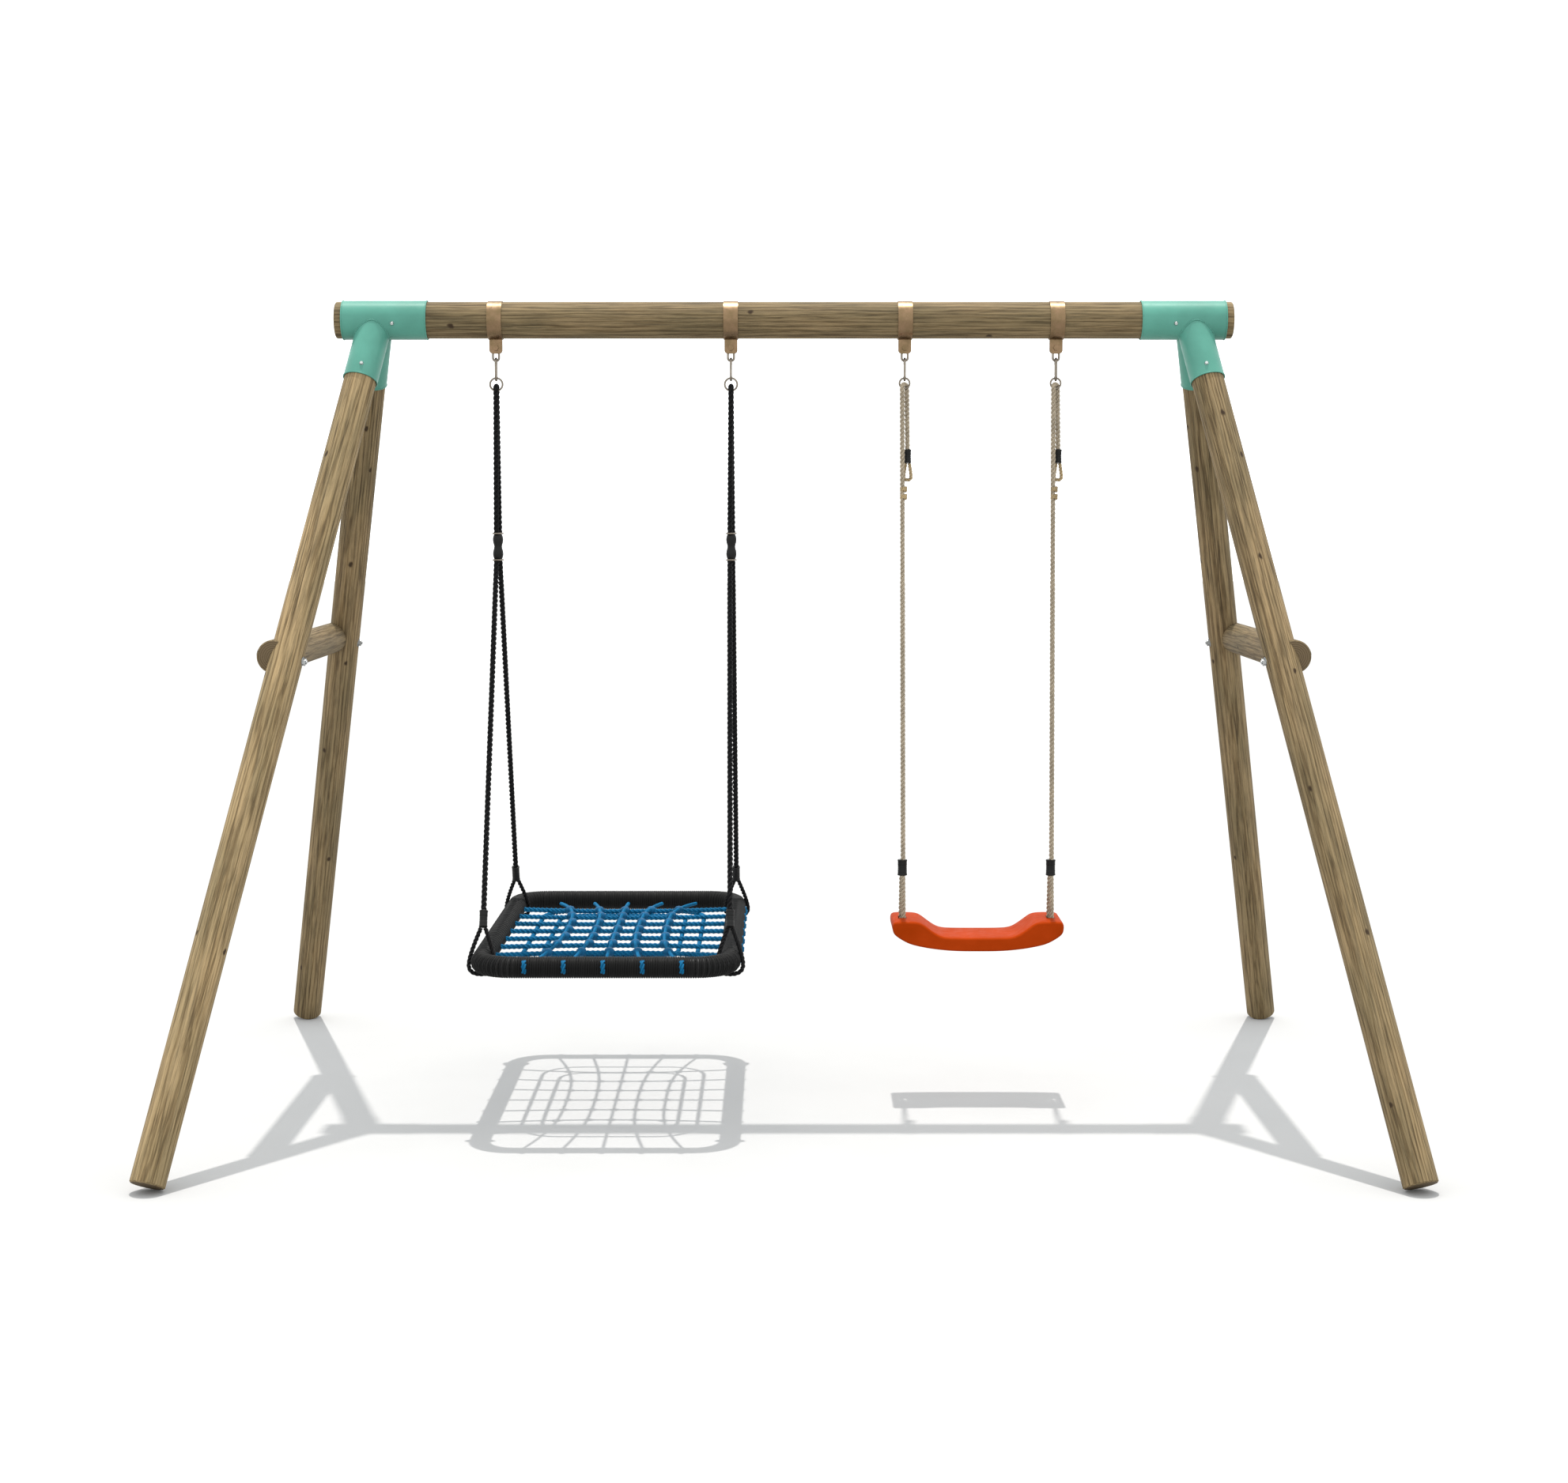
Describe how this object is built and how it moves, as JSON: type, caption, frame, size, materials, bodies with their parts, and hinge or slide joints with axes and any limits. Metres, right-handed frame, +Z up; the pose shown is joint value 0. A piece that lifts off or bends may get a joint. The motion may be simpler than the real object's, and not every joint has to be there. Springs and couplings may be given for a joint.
{
  "type": "swing set",
  "caption": "Free-standing timber A-frame swing set with a round crossbeam, a rectangular net swing and a moulded strap-shaped seat on ropes.",
  "frame": {"origin": "on the ground, in the middle of the footprint, below the middle of the crossbeam", "axes": "+X along the crossbeam towards the moulded seat, +Y from the front to the back, +Z up"},
  "size_m": [3.0426, 2.0618, 2.1263],
  "materials": {
    "round_timber": "turned softwood, weathered, fine lengthwise grain with knots and drying cracks",
    "bracket_coat": "mint green powder coat, semi-gloss",
    "zinc_screw": "bright zinc plate",
    "galvanised_bolt": "galvanised, dull",
    "yellow_zinc": "yellow zinc plate, satin, warm brown reflections",
    "link_steel": "zinc plate, satin",
    "black_rope": "three-strand twisted black rope",
    "black_moulding": "black moulded plastic, matte",
    "frame_steel": "black paint",
    "frame_wrap": "black rope wound closely round the frame",
    "net_cord": "bright blue braided cord",
    "natural_rope": "three-strand twisted beige rope",
    "orange_moulding": "orange moulded plastic, satin gloss"
  },
  "bodies": {
    "frame": {"crossbeam": "round_timber", "leg_front_left": "round_timber", "leg_front_right": "round_timber", "leg_back_left": "round_timber", "leg_back_right": "round_timber", "corner_bracket_left": "bracket_coat", "corner_bracket_right": "bracket_coat", "bracket_screws": "zinc_screw", "brace_left": "round_timber", "brace_right": "round_timber", "brace_bolts": "galvanised_bolt", "brace_nuts": "galvanised_bolt", "beam_clamp_net_left": "yellow_zinc", "beam_clamp_net_right": "yellow_zinc", "beam_clamp_seat_left": "yellow_zinc", "beam_clamp_seat_right": "yellow_zinc", "clamp_bolts": "zinc_screw", "clamp_nuts": "zinc_screw", "hanger_eye_net_left": "link_steel", "hanger_eye_net_right": "link_steel", "hanger_eye_seat_left": "link_steel", "hanger_eye_seat_right": "link_steel"},
    "net_swing": {"snap_hook_net_left": "link_steel", "snap_hook_net_right": "link_steel", "ring_net_left": "link_steel", "ring_net_right": "link_steel", "hanging_rope_left": "black_rope", "hanging_rope_right": "black_rope", "rope_adjuster_left": "black_moulding", "rope_adjuster_right": "black_moulding", "adjuster_collars": "link_steel", "net_rope_front_left": "black_rope", "net_rope_front_right": "black_rope", "net_rope_back_left": "black_rope", "net_rope_back_right": "black_rope", "rope_sleeves": "black_moulding", "rail_loops": "black_rope", "net_frame_tube": "frame_steel", "frame_winding": "frame_wrap", "net_cross_cords": "net_cord", "net_long_cords": "net_cord", "net_ring_cords": "net_cord", "net_lashings": "net_cord"},
    "seat_swing": {"snap_hook_seat_left": "link_steel", "snap_hook_seat_right": "link_steel", "ring_seat_left": "link_steel", "ring_seat_right": "link_steel", "seat_rope_left": "natural_rope", "seat_rope_right": "natural_rope", "lug_loop_left": "natural_rope", "lug_loop_right": "natural_rope", "top_ferrules": "black_moulding", "low_ferrules": "black_moulding", "rope_eyes": "natural_rope", "rope_knots": "natural_rope", "swing_seat": "orange_moulding"},
    "gate_net_left_body": {"gate_net_left": "link_steel"},
    "gate_net_right_body": {"gate_net_right": "link_steel"},
    "gate_seat_left_body": {"gate_seat_left": "link_steel"},
    "gate_seat_right_body": {"gate_seat_right": "link_steel"}
  },
  "joints": [
    {"name": "net_swing_hinge", "type": "hinge", "parent": "frame", "child": "net_swing", "pos_m": [-0.45, 0, 1.968], "axis": [1, 0, 0], "range_deg": [-40, 40]},
    {"name": "seat_swing_hinge", "type": "hinge", "parent": "frame", "child": "seat_swing", "pos_m": [0.518, 0, 1.968], "axis": [1, 0, 0], "range_deg": [-45, 45]},
    {"name": "gate_net_left_hinge", "type": "hinge", "parent": "net_swing", "child": "gate_net_left_body", "pos_m": [-0.76, 0.011, 1.9311], "axis": [1, 0, 0], "range_deg": [0, 30], "stiffness_Nm_per_rad": 0.02, "springref_deg": -20.05},
    {"name": "gate_net_right_hinge", "type": "hinge", "parent": "net_swing", "child": "gate_net_right_body", "pos_m": [-0.14, 0.011, 1.9311], "axis": [1, 0, 0], "range_deg": [0, 30], "stiffness_Nm_per_rad": 0.02, "springref_deg": -20.05},
    {"name": "gate_seat_left_hinge", "type": "hinge", "parent": "seat_swing", "child": "gate_seat_left_body", "pos_m": [0.3185, 0.011, 1.9311], "axis": [1, 0, 0], "range_deg": [0, 30], "stiffness_Nm_per_rad": 0.02, "springref_deg": -20.05},
    {"name": "gate_seat_right_hinge", "type": "hinge", "parent": "seat_swing", "child": "gate_seat_right_body", "pos_m": [0.7175, 0.011, 1.9311], "axis": [1, 0, 0], "range_deg": [0, 30], "stiffness_Nm_per_rad": 0.02, "springref_deg": -20.05}
  ]
}
